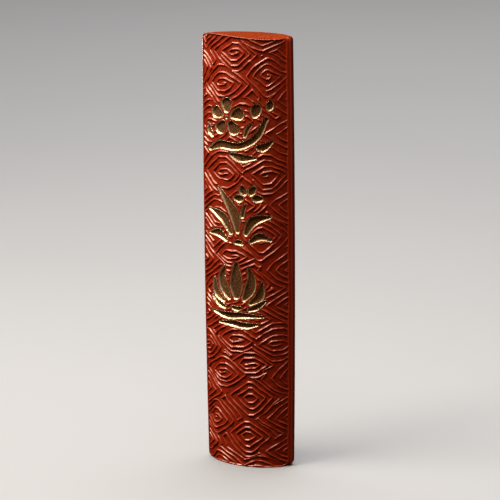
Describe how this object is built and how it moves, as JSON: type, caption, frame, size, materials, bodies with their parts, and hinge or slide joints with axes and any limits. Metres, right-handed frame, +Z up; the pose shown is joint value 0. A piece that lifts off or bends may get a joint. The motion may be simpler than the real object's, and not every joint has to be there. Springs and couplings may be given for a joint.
{
  "type": "ink stick",
  "caption": "Upright moulded red ink stick with domed, line-carved faces, flat sides and three engraved gold flower ornaments.",
  "frame": {"origin": "centre of the foot, on the surface that the stick stands on", "axes": "+Z up along the stick's length; -Y out of the front face with the gold ornaments, so Y is its thickness; +X across its width, to the right seen from the front"},
  "size_m": [0.0212, 0.0094, 0.1],
  "materials": {
    "vermilion_ink": "semi-matt pressed cinnabar ink, hard and slightly waxy",
    "gold_paint": "hand-brushed gold paint, granular with bright edges"
  },
  "bodies": {
    "root": {"blossom_branch_gold": "gold_paint", "blossom_bud_large_gold": "gold_paint", "blossom_bud_small_gold": "gold_paint", "blossom_leaf_left_gold": "gold_paint", "blossom_leaf_low_gold": "gold_paint", "blossom_leaf_right_gold": "gold_paint", "blossom_petal_1_gold": "gold_paint", "blossom_petal_2_gold": "gold_paint", "blossom_petal_3_gold": "gold_paint", "blossom_petal_4_gold": "gold_paint", "blossom_petal_5_gold": "gold_paint", "blossom_stamen_gold": "gold_paint", "blossom_twig_gold": "gold_paint", "ink_body": "vermilion_ink", "lotus_calyx_gold": "gold_paint", "lotus_petal_inner_left_gold": "gold_paint", "lotus_petal_inner_right_gold": "gold_paint", "lotus_petal_low_left_gold": "gold_paint", "lotus_petal_low_right_gold": "gold_paint", "lotus_petal_middle_gold": "gold_paint", "lotus_petal_outer_left_gold": "gold_paint", "lotus_petal_outer_right_gold": "gold_paint", "lotus_ripple_high_gold": "gold_paint", "lotus_ripple_low_gold": "gold_paint", "orchid_leaf_1_gold": "gold_paint", "orchid_leaf_2_gold": "gold_paint", "orchid_leaf_3_gold": "gold_paint", "orchid_leaf_4_gold": "gold_paint", "orchid_leaf_5_gold": "gold_paint", "orchid_leaf_6_gold": "gold_paint", "orchid_petal_1_gold": "gold_paint", "orchid_petal_2_gold": "gold_paint", "orchid_petal_3_gold": "gold_paint", "orchid_petal_4_gold": "gold_paint", "orchid_stem_gold": "gold_paint"}
  },
  "joints": []
}
